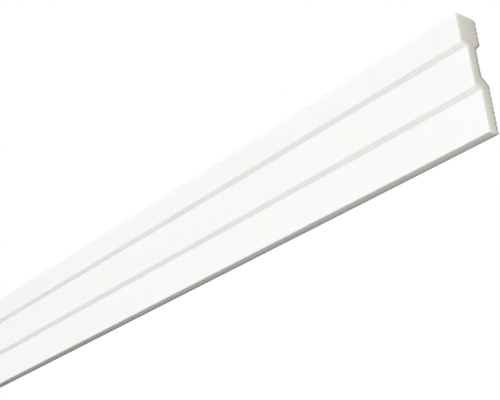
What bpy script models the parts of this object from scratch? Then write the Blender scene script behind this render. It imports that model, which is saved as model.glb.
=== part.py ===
"""A length of stepped crown moulding, extruded in hard foam, standing as it is glued to a wall.

The moulding is one piece with one section along its whole length, cut square at both ends. The
wall is the plane y = 0 and the moulding is in front of it, towards -Y. Its length runs along X,
and +Z is up. The origin is at mid length, on the flat crest of a glue rib of the lower land.

Sizes are in metres. In the section, y is counted from the wall and z from the bottom edge.
"""

import math
from collections import namedtuple

import bpy
from mathutils import Matrix, Vector

LENGTH = 1.0

# Front: three upright fascias, each standing further out from the wall than the one below it
BOTTOM_FASCIA = 0.0358
MIDDLE_FASCIA = 0.0349
TOP_FASCIA = 0.026
BOTTOM_THICKNESS = 0.0111
LOWER_STEP = 0.0069
UPPER_STEP = 0.0066
SOFFIT_FALL = math.radians(14.0)  # how far a step's underside falls, going back to the fascia below
TOP_FALL = math.radians(2.0)  # the top face falls towards the wall, so its front edge meets the ceiling

# Back: two glue lands and the relief channel between them
LOWER_LAND = 0.0411
CHANNEL_FLOOR = 0.0229
CHANNEL_DEPTH = 0.0074
CHANNEL_FLARE = math.radians(44.0)  # lean of the channel's sides, away from square to the wall
UPPER_LAND_SETBACK = 0.0016

# Glue grooves: shallow waves that leave flat ribs between them
GROOVE_WIDTH = 0.0028
GROOVE_DEPTH = 0.0008
RIB_CREST = 0.0014
LAND_MARGIN = 0.0012  # least flat strip outside the last groove of a land

# Corners of the section
ARRIS_RADIUS = 0.0015  # lower edges of the top and middle fascias
INNER_RADIUS = 0.0004  # where a step's underside meets the fascia below it
TOP_FRONT_RADIUS = 0.0008
BOTTOM_FRONT_RADIUS = 0.001
BOTTOM_BACK_RADIUS = 0.0006
TOP_BACK_RADIUS = 0.003
CHANNEL_RADIUS = 0.0012

CORNER_FACET = math.radians(15.0)  # turn of one facet of a rounded corner
GROOVE_FACETS = 8

FOAM_COLOUR = (0.88, 0.88, 0.86, 1.0)
FOAM_ROUGHNESS = 0.55

# Heights and thicknesses that follow from the sizes above
MIDDLE_THICKNESS = BOTTOM_THICKNESS + LOWER_STEP
TOP_THICKNESS = MIDDLE_THICKNESS + UPPER_STEP
MIDDLE_ARRIS_Z = BOTTOM_FASCIA + LOWER_STEP * math.tan(SOFFIT_FALL)
UPPER_INNER_Z = MIDDLE_ARRIS_Z + MIDDLE_FASCIA
TOP_ARRIS_Z = UPPER_INNER_Z + UPPER_STEP * math.tan(SOFFIT_FALL)
TOP_Z = TOP_ARRIS_Z + TOP_FASCIA
TOP_BACK_Z = TOP_Z - (TOP_THICKNESS - UPPER_LAND_SETBACK) * math.tan(TOP_FALL)
FLOOR_LOW_Z = LOWER_LAND + CHANNEL_DEPTH * math.tan(CHANNEL_FLARE)
FLOOR_HIGH_Z = FLOOR_LOW_Z + CHANNEL_FLOOR
UPPER_LAND_Z = FLOOR_HIGH_Z + (CHANNEL_DEPTH - UPPER_LAND_SETBACK) * math.tan(CHANNEL_FLARE)
GROOVE_PITCH = GROOVE_WIDTH + RIB_CREST

# A corner of the section, and the middles of the grooves on the straight run that leaves it
Corner = namedtuple("Corner", "y z radius grooves", defaults=((),))


def clear_scene():
    for existing in list(bpy.data.objects):
        bpy.data.objects.remove(existing, do_unlink=True)


def groove_middles(low, high):
    """Middles of as many grooves as fit between two heights, in an even row halfway between them."""
    room = high - low - 2 * LAND_MARGIN - GROOVE_WIDTH
    count = math.floor(room / GROOVE_PITCH) + 1
    first = (low + high - (count - 1) * GROOVE_PITCH) / 2
    return [first + index * GROOVE_PITCH for index in range(count)]


def lower_grooves():
    return groove_middles(BOTTOM_BACK_RADIUS, LOWER_LAND - CHANNEL_RADIUS)


def upper_grooves():
    return groove_middles(UPPER_LAND_Z + CHANNEL_RADIUS, TOP_BACK_Z - TOP_BACK_RADIUS)


def origin_z():
    """Height of the crest just below the middle groove of the lower land."""
    middles = lower_grooves()
    return middles[len(middles) // 2] - GROOVE_PITCH / 2


def section_corners():
    """The corners in order, up the back, forward over the top and down the front."""
    floor_middle = (FLOOR_LOW_Z + FLOOR_HIGH_Z) / 2
    return [
        Corner(0.0, 0.0, BOTTOM_BACK_RADIUS, lower_grooves()),
        Corner(0.0, LOWER_LAND, CHANNEL_RADIUS),
        Corner(-CHANNEL_DEPTH, FLOOR_LOW_Z, CHANNEL_RADIUS, [floor_middle]),
        Corner(-CHANNEL_DEPTH, FLOOR_HIGH_Z, CHANNEL_RADIUS),
        Corner(-UPPER_LAND_SETBACK, UPPER_LAND_Z, CHANNEL_RADIUS, upper_grooves()),
        Corner(-UPPER_LAND_SETBACK, TOP_BACK_Z, TOP_BACK_RADIUS),
        Corner(-TOP_THICKNESS, TOP_Z, TOP_FRONT_RADIUS),
        Corner(-TOP_THICKNESS, TOP_ARRIS_Z, ARRIS_RADIUS),
        Corner(-MIDDLE_THICKNESS, UPPER_INNER_Z, INNER_RADIUS),
        Corner(-MIDDLE_THICKNESS, MIDDLE_ARRIS_Z, ARRIS_RADIUS),
        Corner(-BOTTOM_THICKNESS, BOTTOM_FASCIA, INNER_RADIUS),
        Corner(-BOTTOM_THICKNESS, 0.0, BOTTOM_FRONT_RADIUS),
    ]


def rounded_corner(before, corner, after):
    """Points of the arc that rounds a corner, limited to half of the shorter side beside it."""
    tip = Vector((corner.y, corner.z))
    back = Vector((before.y, before.z)) - tip
    ahead = Vector((after.y, after.z)) - tip
    half_opening = back.angle(ahead) / 2
    run_out = min(corner.radius / math.tan(half_opening), back.length / 2, ahead.length / 2)
    radius = run_out * math.tan(half_opening)
    bisector = (back.normalized() + ahead.normalized()).normalized()
    centre = tip + bisector * radius / math.sin(half_opening)
    spoke = tip + back.normalized() * run_out - centre
    turn = math.copysign(math.pi - 2 * half_opening, ahead.cross(back))
    facets = math.ceil(abs(turn) / CORNER_FACET)
    return [centre + Matrix.Rotation(turn * step / facets, 2) @ spoke for step in range(facets + 1)]


def groove(surface_y, middle):
    """Points across one groove, one wave deep, going up from edge to edge."""
    points = []
    for step in range(GROOVE_FACETS + 1):
        across = step / GROOVE_FACETS
        depth = GROOVE_DEPTH * (1 - math.cos(2 * math.pi * across)) / 2
        points.append(Vector((surface_y - depth, middle + (across - 0.5) * GROOVE_WIDTH)))
    return points


def section_outline():
    corners = section_corners()
    outline = []
    for index, corner in enumerate(corners):
        outline += rounded_corner(corners[index - 1], corner, corners[(index + 1) % len(corners)])
        for middle in corner.grooves:
            outline += groove(corner.y, middle)
    return outline


def foam_material():
    material = bpy.data.materials.new("primed_foam")
    material.use_nodes = True
    shader = material.node_tree.nodes["Principled BSDF"]
    shader.inputs["Base Color"].default_value = FOAM_COLOUR
    shader.inputs["Roughness"].default_value = FOAM_ROUGHNESS
    shader.inputs["Metallic"].default_value = 0.0
    material.diffuse_color = FOAM_COLOUR
    return material


def build_moulding(collection):
    """The section as a flat filled curve in (y, z), turned to face along X and given its length."""
    outline = section_outline()
    curve = bpy.data.curves.new("crown_moulding_length", "CURVE")
    curve.dimensions = "2D"
    curve.fill_mode = "BOTH"
    curve.extrude = LENGTH / 2
    spline = curve.splines.new("POLY")
    spline.points.add(len(outline) - 1)
    for point, place in zip(spline.points, outline):
        point.co = (place.x, place.y, 0.0, 1.0)
    spline.use_cyclic_u = True
    curve.materials.append(foam_material())

    moulding = bpy.data.objects.new("crown_moulding_length", curve)
    moulding.rotation_euler = (math.pi / 2, 0.0, math.pi / 2)
    moulding.location = (0.0, 0.0, -origin_z())
    collection.objects.link(moulding)

    weld = moulding.modifiers.new("join_caps", "WELD")
    weld.merge_threshold = 0.00001
    return moulding


def main():
    clear_scene()
    collection = bpy.data.collections.new("crown_moulding")
    bpy.context.scene.collection.children.link(collection)
    build_moulding(collection)


main()
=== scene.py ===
# A length of crown moulding: its sawn foam and its white primer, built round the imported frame.
# Metres throughout. The wall is the plane y = 0, the room is towards -Y and +Z is up.
import math

import bmesh
import bpy
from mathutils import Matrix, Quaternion, Vector, geometry, noise


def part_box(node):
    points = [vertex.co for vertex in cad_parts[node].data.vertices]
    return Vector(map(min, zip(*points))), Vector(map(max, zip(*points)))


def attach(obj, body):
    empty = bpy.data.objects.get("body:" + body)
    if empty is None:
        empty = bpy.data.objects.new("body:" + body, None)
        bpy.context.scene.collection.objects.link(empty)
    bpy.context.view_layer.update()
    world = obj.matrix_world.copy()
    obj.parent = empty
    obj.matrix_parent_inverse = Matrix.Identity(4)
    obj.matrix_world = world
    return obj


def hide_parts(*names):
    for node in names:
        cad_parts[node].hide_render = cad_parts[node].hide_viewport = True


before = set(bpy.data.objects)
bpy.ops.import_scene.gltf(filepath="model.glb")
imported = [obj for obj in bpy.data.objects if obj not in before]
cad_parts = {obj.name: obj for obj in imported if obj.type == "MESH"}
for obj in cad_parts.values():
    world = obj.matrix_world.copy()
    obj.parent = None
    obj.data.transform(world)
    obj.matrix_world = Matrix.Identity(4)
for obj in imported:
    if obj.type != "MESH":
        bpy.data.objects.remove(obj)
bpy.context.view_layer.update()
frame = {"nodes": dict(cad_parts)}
print("Frame loaded:", ", ".join(frame["nodes"]))


# A socket that takes part in sums, so that shader maths reads as plain expressions
class Wire:
    def __init__(self, tree, socket=None):
        self.tree = tree
        self.socket = socket

    # Any node, from its type, its settings, and the values or wires that go into its sockets
    def node(self, kind, settings=None, feeds=None, output=0):
        made = self.tree.nodes.new(kind)
        for name, value in (settings or {}).items():
            setattr(made, name, value)
        for name, value in (feeds or {}).items():
            if isinstance(value, Wire):
                self.tree.links.new(value.socket, made.inputs[name])
            else:
                made.inputs[name].default_value = value
        return Wire(self.tree, made.outputs[output] if made.outputs else None)

    def maths(self, operation, first, second):
        return self.node("ShaderNodeMath", {"operation": operation}, {0: first, 1: second})

    def __add__(self, other):
        return self.maths("ADD", self, other)

    def __radd__(self, other):
        return self.maths("ADD", other, self)

    def __sub__(self, other):
        return self.maths("SUBTRACT", self, other)

    def __rsub__(self, other):
        return self.maths("SUBTRACT", other, self)

    def __mul__(self, other):
        return self.maths("MULTIPLY", self, other)

    def __rmul__(self, other):
        return self.maths("MULTIPLY", other, self)

    def __pow__(self, other):
        return self.maths("POWER", self, other)

    # The wire where it is above a number, and that number elsewhere
    def over(self, number):
        return self.maths("MAXIMUM", self, number)

    # 0 below low, 1 above high, and a soft step between them; low may be the higher number
    def step(self, low, high):
        ends = {"Value": self, "From Min": low, "From Max": high}
        return self.node("ShaderNodeMapRange", {"interpolation_type": "SMOOTHSTEP"}, ends)

    # The first colour where the mask is 0, and the second where it is 1
    def blend(self, mask, first, second):
        feeds = {0: mask, 6: first, 7: second}
        return self.node("ShaderNodeMix", {"data_type": "RGBA"}, feeds, 2)

    # Vector maths; a length or a dot product comes out at "Value"
    def vectors(self, operation, feeds, output="Vector"):
        return self.node("ShaderNodeVectorMath", {"operation": operation}, feeds, output)

    # Where a point is on the piece, in metres
    def place(self):
        return self.node("ShaderNodeTexCoord", {}, {}, "Object")

    # The X, Y or Z of a place
    def axis(self, name):
        return self.node("ShaderNodeSeparateXYZ", {}, {0: self}, name)

    # A number that the mesh holds for each of its points
    def stored(self, name):
        return self.node("ShaderNodeAttribute", {"attribute_name": name}, {}, "Fac")

    # A noise of the given feature size, in metres, stretched along X by the given factor
    def grain(self, place, size, stretch=1.0):
        squeezed = self.vectors("MULTIPLY", {0: place, 1: (1 / stretch, 1.0, 1.0)})
        feeds = {"Vector": squeezed, "Scale": 1 / size, "Detail": 2.0}
        return self.node("ShaderNodeTexNoise", {}, feeds, "Fac")

    # Round pits, one to each cell of the given size, and 1 at their middles; wider where width is
    def pits(self, place, size, width):
        feeds = {"Vector": place, "Scale": 1 / size}
        fromMiddle = self.node("ShaderNodeTexVoronoi", {"feature": "F1"}, feeds, "Distance")
        return (width - fromMiddle).step(0.0, 0.15)


hair = 1e-6  # points closer than this are in one place

# The moulding's section, with y counted from the wall and z from the bottom edge
moulding = {
    "node": "crown_moulding_length",
    # Front: fascias that step out from the wall, with undersides that fall to the fascia below
    "bottomFascia": 0.0358,
    "middleFascia": 0.0349,
    "bottomThickness": 0.0111,
    "lowerStep": 0.0069,
    "soffitFall": math.radians(14.0),
    "topFall": math.radians(2.0),
    # Back: two lands for glue, with grooves, and the channel between them
    "lowerLand": 0.0411,
    "channelFloor": 0.0229,
    "channelDepth": 0.0074,
    "channelFlare": math.radians(44.0),
    "upperLandSetback": 0.0016,
    "grooveWidth": 0.0028,
    "grooveDepth": 0.0008,
    "groovePitch": 0.0042,
    "lowerGrooves": 9,
    "channelGrooves": 1,
    "upperGrooves": 4,
    # Corners
    "arrisRadius": 0.0015,
    "innerRadius": 0.0004,
    "topFrontRadius": 0.0008,
    "bottomFrontRadius": 0.001,
    "bottomBackRadius": 0.0006,
    "topBackRadius": 0.003,
    "channelRadius": 0.0012,
    "facetTurn": math.radians(7.5),  # turn of one facet of a rounded corner
    "grooveFacets": 12,
    # Sawn ends: a small round along their rims, and the grid that carries their relief
    "endRound": 0.00015,
    "endRoundFacets": 3,
    "endGrid": 0.00035,
    "gridSnap": 0.00004,  # a grid line runs through a point that is this close to it
    "cellSize": 0.0011,
    "cellDepth": 0.0002,
    "cellNarrowness": 1.6,
    "sawPitch": 0.0023,
    "sawDepth": 0.00006,
    "sawSlant": 0.35,
    "sawWander": 2.0,  # radians that the saw waves stray by
    "wanderScale": 60.0,
    # How squarely a face looks at the wall, to be cut by a groove and to have the back's finish
    "grooveFacing": 0.05,
    "backFacing": 0.3,
    "sharpTurn": math.radians(40.0),
}
lowCorner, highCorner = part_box(moulding["node"])


# The corners in order, up the back, forward over the top and down the front
def sectionCorners(s):
    topThickness = -lowCorner.y
    middleThickness = s["bottomThickness"] + s["lowerStep"]
    fall = math.tan(s["soffitFall"])
    flare = math.tan(s["channelFlare"])
    middleArris = s["bottomFascia"] + s["lowerStep"] * fall
    upperInner = middleArris + s["middleFascia"]
    topArris = upperInner + (topThickness - middleThickness) * fall
    top = highCorner.z - lowCorner.z
    topBack = top - (topThickness - s["upperLandSetback"]) * math.tan(s["topFall"])
    floorLow = s["lowerLand"] + s["channelDepth"] * flare
    floorHigh = floorLow + s["channelFloor"]
    upperLand = floorHigh + (s["channelDepth"] - s["upperLandSetback"]) * flare
    return [
        (0.0, 0.0, s["bottomBackRadius"]),
        (0.0, s["lowerLand"], s["channelRadius"]),
        (-s["channelDepth"], floorLow, s["channelRadius"]),
        (-s["channelDepth"], floorHigh, s["channelRadius"]),
        (-s["upperLandSetback"], upperLand, s["channelRadius"]),
        (-s["upperLandSetback"], topBack, s["topBackRadius"]),
        (-topThickness, top, s["topFrontRadius"]),
        (-topThickness, topArris, s["arrisRadius"]),
        (-middleThickness, upperInner, s["innerRadius"]),
        (-middleThickness, middleArris, s["arrisRadius"]),
        (-s["bottomThickness"], s["bottomFascia"], s["innerRadius"]),
        (-s["bottomThickness"], 0.0, s["bottomFrontRadius"]),
    ]


# The section with sharp corners, drawn at the left end and pulled out to the right end
def drawLength(shape, corners):
    ring = [shape.verts.new((lowCorner.x, y, z + lowCorner.z)) for y, z, radius in corners]
    end = shape.faces.new(ring)
    swept = bmesh.ops.extrude_face_region(shape, geom=[end], use_keep_orig=True)
    moved = [part for part in swept["geom"] if isinstance(part, bmesh.types.BMVert)]
    bmesh.ops.translate(shape, verts=moved, vec=(highCorner.x - lowCorner.x, 0.0, 0.0))
    bmesh.ops.recalc_face_normals(shape, faces=shape.faces)


def roundEdges(shape, edges, offset, facets):
    bmesh.ops.bevel(
        shape,
        geom=edges,
        offset=offset,
        offset_type="OFFSET",
        affect="EDGES",
        segments=facets,
        profile=0.5,
        material=-1,
    )


def roundLongEdges(shape, s, corners):
    for index, (y, z, radius) in enumerate(corners):
        tip = Vector((y, z))
        back = Vector(corners[index - 1][:2]) - tip
        ahead = Vector(corners[(index + 1) % len(corners)][:2]) - tip
        halfOpening = back.angle(ahead) / 2
        long = [
            edge
            for edge in shape.edges
            if all((Vector((v.co.y, v.co.z - lowCorner.z)) - tip).length < hair for v in edge.verts)
        ]
        facets = math.ceil((math.pi - 2 * halfOpening) / s["facetTurn"])
        roundEdges(shape, long, radius / math.tan(halfOpening), facets)


def roundEnds(shape, s):
    rims = [edge for edge in shape.edges if abs(edge.verts[0].co.x - edge.verts[1].co.x) < hair]
    roundEdges(shape, rims, s["endRound"], s["endRoundFacets"])


# Cuts faces along a plane, and leaves the rest of the shape as it is
def cutAcross(shape, faces, place, normal, snap=hair):
    parts = list(faces)
    for face in faces:
        parts += face.edges
        parts += face.verts
    return bmesh.ops.bisect_plane(
        shape, geom=list(dict.fromkeys(parts)), plane_co=place, plane_no=normal, dist=snap
    )


# The faces that reach from below a height to above it
def facesAt(faces, z):
    return [f for f in faces if min(v.co.z for v in f.verts) < z < max(v.co.z for v in f.verts)]


# One groove: its stretch of the back is cut into narrow strips, and their edges get the depths
# of a wave. They sink later, once every groove is cut
def cutGroove(shape, s, surface, middle):
    def isBack(v):
        return surface - 2 * s["endRound"] < v.co.y < surface + hair

    wave = []
    for cut in range(s["grooveFacets"] + 1):
        across = cut / s["grooveFacets"]
        z = lowCorner.z + middle + (across - 0.5) * s["grooveWidth"]
        back = [
            f
            for f in shape.faces
            if f.normal.y > s["grooveFacing"] and all(isBack(v) for v in f.verts)
        ]
        cutAcross(shape, facesAt(back, z), (0.0, 0.0, z), (0.0, 0.0, 1.0))
        depth = s["grooveDepth"] * (1 - math.cos(2 * math.pi * across)) / 2
        wave.append(([v for v in shape.verts if abs(v.co.z - z) < hair and isBack(v)], depth))
    return wave


# A row of grooves in the middle of each land, and one in the middle of the channel's floor
def cutGrooves(shape, s, corners):
    floorLow, floorHigh, upperLand, topBack = [z for y, z, radius in corners[2:6]]
    lowerMiddle = (s["lowerLand"] + s["bottomBackRadius"] - s["channelRadius"]) / 2
    upperLow = upperLand + s["channelRadius"]
    upperHigh = topBack - s["topBackRadius"]
    rows = [
        (0.0, lowerMiddle, s["lowerGrooves"]),
        (-s["channelDepth"], (floorLow + floorHigh) / 2, s["channelGrooves"]),
        (-s["upperLandSetback"], (upperLow + upperHigh) / 2, s["upperGrooves"]),
    ]
    waves = []
    for surface, middle, count in rows:
        for index in range(count):
            place = middle + (index - (count - 1) / 2) * s["groovePitch"]
            waves += cutGroove(shape, s, surface, place)
    for sunk, depth in waves:
        bmesh.ops.translate(shape, verts=sunk, vec=(0.0, -depth, 0.0))


# A flat sawn end, and nothing of the small round that runs along its rim
def isOnEnd(face, x):
    return all(abs(v.co.x - x) < hair for v in face.verts)


# A fine grid of faces on a sawn end: level cuts first, and then upright ones from front to back
def gridEnd(shape, s, x):
    z = lowCorner.z + s["endGrid"] / 2
    while z < highCorner.z:
        end = [f for f in shape.faces if isOnEnd(f, x)]
        cutAcross(shape, facesAt(end, z), (0.0, 0.0, z), (0.0, 0.0, 1.0), s["gridSnap"])
        z += s["endGrid"]
    y = lowCorner.y + s["endGrid"] / 2
    beyond = [f for f in shape.faces if isOnEnd(f, x)]
    while y < highCorner.y:
        cut = cutAcross(shape, beyond, (0.0, y, 0.0), (0.0, 1.0, 0.0), s["gridSnap"])
        faces = [part for part in cut["geom"] if isinstance(part, bmesh.types.BMFace)]
        beyond = [f for f in faces if f.calc_center_median().y > y]
        y += s["endGrid"]


# Cells opened by the saw, and the shallow waves that its teeth leave
def roughenEnd(shape, s, x):
    outward = math.copysign(1.0, x)
    inside = [v for v in shape.verts if all(isOnEnd(f, x) for f in v.link_faces)]
    for v in inside:
        fromMiddle = noise.voronoi(v.co / s["cellSize"])[0][0]
        cell = max(0.0, 1.0 - s["cellNarrowness"] * fromMiddle)
        wander = s["sawWander"] * noise.noise(v.co * s["wanderScale"])
        turn = 2 * math.pi * (v.co.z + s["sawSlant"] * v.co.y) / s["sawPitch"] + wander
        saw = (1 + math.sin(turn)) / 2
        v.co.x -= outward * (s["cellDepth"] * cell + s["sawDepth"] * saw)


# What the foam and its primer look like. Lengths are in metres
finish = {
    "primer": (0.90, 0.90, 0.885, 1.0),
    "primerShade": (0.88, 0.88, 0.865, 1.0),
    "foam": (0.69, 0.675, 0.595, 1.0),
    "foamShade": (0.65, 0.635, 0.555, 1.0),
    # painted shade: the colour of the pits of the open pores
    "poreShadow": (0.46, 0.45, 0.39, 1.0),
    # painted shade: the dark colour of the rim along the back edge
    "backEdgeShade": (0.255, 0.252, 0.233, 1.0),
    "backFoam": (0.66, 0.65, 0.59, 1.0),
    "foamRoughness": 0.75,
    "primerRoughness": 0.45,
    "oversprayReach": (0.0088, 0.0094),  # its reach at mid length, and its growth per metre of x
    # A painted glow in primer white along the lit front edge of each sawn end
    "endPaintedGlow": (-0.003, 0.0055),  # where the fade would be full primer, and full foam
    # The painted shade along the back edge: a rim of this reach and share, and a fainter darkening
    # further in
    "shadeRimReach": 0.003,
    "shadeRimShare": 0.78,
    "shadeHazeReach": (0.01, 0.125),  # its reach at the origin, and its growth per metre of height
    "shadeHazeShare": 0.22,
    "cloudSize": 0.06,
    "cloudStretch": 4.0,  # along the moulding
    "lineSize": 0.0012,
    "lineStretch": 200.0,
    "stippleSize": 0.0006,
    "cellSize": 0.0005,
    "poreSize": 0.0008,
    "porePatchSize": 0.0025,
    "poreDarkness": 0.45,
    "relief": 0.0001,
    "translucence": 0.6,
    "lightReach": 0.003,
}


def newMaterial(name):
    material = bpy.data.materials.new(name)
    material.use_nodes = True
    material.node_tree.nodes.clear()
    return material, Wire(material.node_tree)


# Primer where the coat is 1 and bare foam where it is 0, darker along the back edge, where shade is
# painted in. The foam has open pores where it is sawn, with pitted 1, darkened in their pits with
# painted shade, and lines from the die where it isn't
def primedFoam(wire, s, coat, backEdgeShade, foamTint, pitted):
    place = wire.place()
    cloud = wire.grain(place, s["cloudSize"], s["cloudStretch"])
    lines = wire.grain(place, s["lineSize"], s["lineStretch"])
    stipple = wire.grain(place, s["stippleSize"])
    cells = wire.grain(place, s["cellSize"])
    poreWidth = wire.grain(place, s["porePatchSize"]) * 1.2 - 0.35
    pores = wire.pits(place, s["poreSize"], poreWidth) * pitted
    primer = wire.blend(cloud * 0.6 + lines * 0.4, s["primer"], s["primerShade"])
    foam = wire.blend(cloud * 0.5 + cells * 0.5, foamTint, s["foamShade"])
    # Painted shade in the pores' pits
    foam = wire.blend(pores * s["poreDarkness"], foam, s["poreShadow"])
    # Painted shade along the back edge
    foam = wire.blend(backEdgeShade, foam, s["backEdgeShade"])
    smooth = lines * 0.15 + stipple * 0.1
    rough = cells * 0.7 + lines * (1 - pitted) - pores
    height = coat * smooth + (1 - coat) * rough
    bump = {"Strength": 0.5, "Distance": s["relief"], "Height": height}
    gain = s["foamRoughness"] - s["primerRoughness"]
    feeds = {
        "Base Color": wire.blend(coat, foam, primer),
        "Roughness": s["foamRoughness"] - coat * gain + stipple * 0.1,
        "Normal": wire.node("ShaderNodeBump", {}, bump),
        "Subsurface Weight": s["translucence"],
        "Subsurface Radius": (1.0, 0.95, 0.85),
        "Subsurface Scale": s["lightReach"],
    }
    shader = wire.node("ShaderNodeBsdfPrincipled", {}, feeds)
    wire.node("ShaderNodeOutputMaterial", {}, {"Surface": shader})


# Painted shade along the back edge: a dark rim, and a faint darkening further in, which reaches
# further towards the top. It darkens the sawn ends, and the underside and top next to the back
def paintedBackEdgeShade(wire, s):
    fromBack = wire.stored("fromBack")
    reach, growth = s["shadeHazeReach"]
    fadingShade = fromBack.step(reach + growth * wire.place().axis("Z"), 0.0)
    return fromBack.step(s["shadeRimReach"], 0.0) * s["shadeRimShare"] + fadingShade * s["shadeHazeShare"]


# The overspray that wraps round from the front, reaching further towards the right end
def overspray(wire, s):
    reach, growth = s["oversprayReach"]
    return wire.stored("fromFront").step(reach + growth * wire.place().axis("X"), 0.0)


def primedSkin(s):
    material, wire = newMaterial("primedSkin")
    primedFoam(wire, s, overspray(wire, s), paintedBackEdgeShade(wire, s), s["foam"], pitted=0.4)
    return material


def sawnEnd(s):
    material, wire = newMaterial("sawnEnd")
    # Painted glow: primer white near the front edge of the sawn end, fading to foam further back
    near, far = s["endPaintedGlow"]
    coat = wire.stored("fromFront").step(far, near)
    primedFoam(wire, s, coat, paintedBackEdgeShade(wire, s), s["foam"], pitted=1.0)
    return material


def bareBack(s):
    material, wire = newMaterial("bareBack")
    coat = overspray(wire, s) * 0.5
    primedFoam(wire, s, coat, 0.0, s["backFoam"], pitted=0.25)
    return material


def distanceToLine(place, start, end):
    nearest, share = geometry.intersect_point_line(place, start, end)
    share = min(1.0, max(0.0, share))
    return (start.lerp(end, share) - place).length


# How far each point of the mesh is from the front profile, and from the back, in metres. The
# first six corners of the section are the back's
def measureDepths(mesh, corners):
    profiles = {"fromFront": corners[6:], "fromBack": corners[:6]}
    for name, profile in profiles.items():
        stored = mesh.attributes.new(name, "FLOAT", "POINT")
        points = [Vector((y, z + lowCorner.z)) for y, z, radius in profile]
        known = {}
        for index, v in enumerate(mesh.vertices):
            place = Vector((v.co.y, v.co.z))
            key = place.to_tuple(6)
            if key not in known:
                known[key] = min(
                    distanceToLine(place, start, end) for start, end in zip(points, points[1:])
                )
            stored.data[index].value = known[key]


def cutSection(s, corners):
    shape = bmesh.new()
    drawLength(shape, corners)
    roundLongEdges(shape, s, corners)
    roundEnds(shape, s)
    cutGrooves(shape, s, corners)
    print("Section cut:", len(shape.faces), "faces")
    return shape


# Each face gets its finish: 1 on the sawn ends and their rims, 2 on the back, and 0 elsewhere
def shareFinishes(shape, s):
    for face in shape.faces:
        if abs(face.calc_center_median().x) > highCorner.x - s["endRound"]:
            face.material_index = 1
        elif face.normal.y > s["backFacing"]:
            face.material_index = 2


def sawEnds(shape, s):
    for x in (lowCorner.x, highCorner.x):
        gridEnd(shape, s, x)
    shareFinishes(shape, s)
    for x in (lowCorner.x, highCorner.x):
        roughenEnd(shape, s, x)
    many = [f for f in shape.faces if f.material_index == 1 and len(f.verts) > 4]
    bmesh.ops.triangulate(shape, faces=many)
    print("Ends sawn:", len(shape.faces), "faces")


def buildMoulding(s):
    corners = sectionCorners(s)
    shape = cutSection(s, corners)
    sawEnds(shape, s)
    for face in shape.faces:
        face.smooth = True
    mesh = bpy.data.meshes.new("crownMoulding")
    shape.to_mesh(mesh)
    shape.free()
    mesh.set_sharp_from_angle(angle=s["sharpTurn"])
    measureDepths(mesh, corners)
    for material in (primedSkin(finish), sawnEnd(finish), bareBack(finish)):
        mesh.materials.append(material)
    piece = bpy.data.objects.new("crownMoulding", mesh)
    bpy.context.scene.collection.objects.link(piece)
    flat = piece.modifiers.new("flatFascias", "WEIGHTED_NORMAL")
    flat.mode = "FACE_AREA"
    flat.weight = 100
    flat.keep_sharp = True
    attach(piece, "root")
    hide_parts(s["node"])
    print("Moulding built:", len(mesh.polygons), "faces")


buildMoulding(moulding)

# A soft white studio. Each soft light of the dome has the side that it comes from, as an azimuth
# and an elevation, its level, where the backdrop that the camera sees has 1, and how narrow it is
studio = {
    "softLights": {
        "front": (0.0, 0.0, 1.487, 2),
        "right": (90.0, 10.0, 1.623, 4),
        "overhead": (0.0, 90.0, 0.2, 2),
        "wallSide": (215.0, 45.0, 1.8, 3),
    },
    "panels": {
        "lowPanel": {
            "shape": "RECTANGLE",
            "size": (3.0, 0.4),
            "place": (0.1, -0.9, -0.55),
            "aim": (0.1, -0.01, 0.02),
            "watts": 4.76,
        },
        "endPanel": {
            "shape": "ELLIPSE",
            "size": (0.8, 0.8),
            "place": (1.2, 0.0, -1.0),
            "aim": (0.3, 0.0, 0.0),
            "watts": 3.2,
        },
    },
    "floorDrop": 2.6,
    "floorSize": 60.0,
    "floorColour": (0.86, 0.86, 0.86, 1.0),
    "floorFade": (3.0, 14.0),
    "backdrop": (1.0, 1.0, 1.0, 1.0),
}


def pointTo(azimuth, elevation):
    level = math.cos(elevation)
    return Vector((math.sin(azimuth) * level, -math.cos(azimuth) * level, math.sin(elevation)))


def lightDome(s):
    world = bpy.data.worlds.new("studioDome")
    world.use_nodes = True
    world.node_tree.nodes.clear()
    bpy.context.scene.world = world
    wire = Wire(world.node_tree)
    direction = wire.node("ShaderNodeTexCoord", {}, {}, "Generated")
    light = 0.0
    for azimuth, elevation, level, narrowness in s["softLights"].values():
        source = pointTo(math.radians(azimuth), math.radians(elevation))
        towards = wire.vectors("DOT_PRODUCT", {0: direction, 1: source}, "Value")
        light = light + level * towards.over(0.0) ** narrowness
    seen = wire.node("ShaderNodeLightPath", {}, {}, "Is Camera Ray")
    feeds = {"Color": s["backdrop"], "Strength": seen + (1 - seen) * light}
    background = wire.node("ShaderNodeBackground", {}, feeds)
    wire.node("ShaderNodeOutputWorld", {}, {"Surface": background})


# A soft panel that lights the moulding and doesn't show itself
def hangPanel(name, s):
    lamp = bpy.data.lights.new(name, "AREA")
    lamp.shape = s["shape"]
    lamp.size, lamp.size_y = s["size"]
    lamp.energy = s["watts"]
    panel = bpy.data.objects.new(name, lamp)
    panel.location = s["place"]
    panel.rotation_mode = "QUATERNION"
    panel.rotation_quaternion = (Vector(s["place"]) - Vector(s["aim"])).to_track_quat("Z", "Y")
    panel.visible_camera = False
    bpy.context.scene.collection.objects.link(panel)


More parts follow.
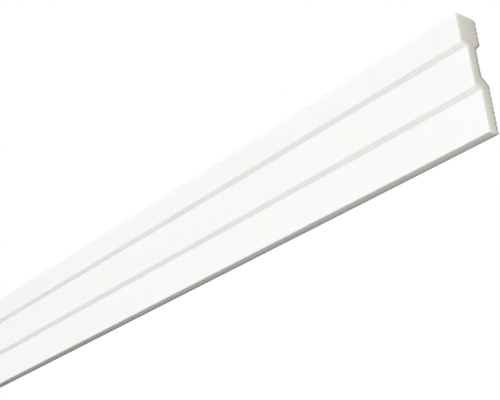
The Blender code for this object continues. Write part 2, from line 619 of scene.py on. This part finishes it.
# The floor of the room below, fading into the white of the studio so that no horizon shows
def layFloor(s):
    shape = bmesh.new()
    bmesh.ops.create_grid(shape, x_segments=1, y_segments=1, size=s["floorSize"] / 2)
    bmesh.ops.translate(shape, verts=shape.verts, vec=(0.0, 0.0, -s["floorDrop"]))
    mesh = bpy.data.meshes.new("studioFloor")
    shape.to_mesh(mesh)
    shape.free()
    floor = bpy.data.objects.new("studioFloor", mesh)
    bpy.context.scene.collection.objects.link(floor)
    material, wire = newMaterial("paleFloor")
    flat = wire.vectors("MULTIPLY", {0: wire.place(), 1: (1.0, 1.0, 0.0)})
    fade = wire.vectors("LENGTH", {0: flat}, "Value").step(*s["floorFade"])
    paint = wire.node("ShaderNodeBsdfDiffuse", {}, {"Color": s["floorColour"]})
    white = wire.node("ShaderNodeEmission", {}, {"Color": s["backdrop"], "Strength": 1.0})
    surface = wire.node("ShaderNodeMixShader", {}, {0: fade, 1: paint, 2: white})
    wire.node("ShaderNodeOutputMaterial", {}, {"Surface": surface})
    mesh.materials.append(material)
    floor.visible_diffuse = False
    floor.visible_glossy = False
    floor.visible_shadow = False


lightDome(studio)
for name, panel in studio["panels"].items():
    hangPanel(name, panel)
layFloor(studio)
print("Studio lit")

# The photograph's view
view = {
    "target": (0.22158, -0.012, 0.0334),
    "azimuth": math.radians(49.114),
    "elevation": math.radians(-22.312),
    "distance": 1.03361,
    "roll": math.radians(6.025),
    "lens": 79.2,
    "sensorWidth": 36.0,
    "clipStart": 0.05,
}


def placeCamera(s):
    camera = bpy.data.objects.new("camera", bpy.data.cameras.new("camera"))
    bpy.context.scene.collection.objects.link(camera)
    camera.data.lens = s["lens"]
    camera.data.sensor_width = s["sensorWidth"]
    camera.data.clip_start = s["clipStart"]
    back = pointTo(s["azimuth"], s["elevation"])
    roll = Quaternion((0.0, 0.0, 1.0), -s["roll"])
    camera.location = Vector(s["target"]) + back * s["distance"]
    camera.rotation_mode = "QUATERNION"
    camera.rotation_quaternion = back.to_track_quat("Z", "Y") @ roll
    bpy.context.scene.camera = camera


placeCamera(view)
bpy.context.scene.view_settings.view_transform = "Standard"
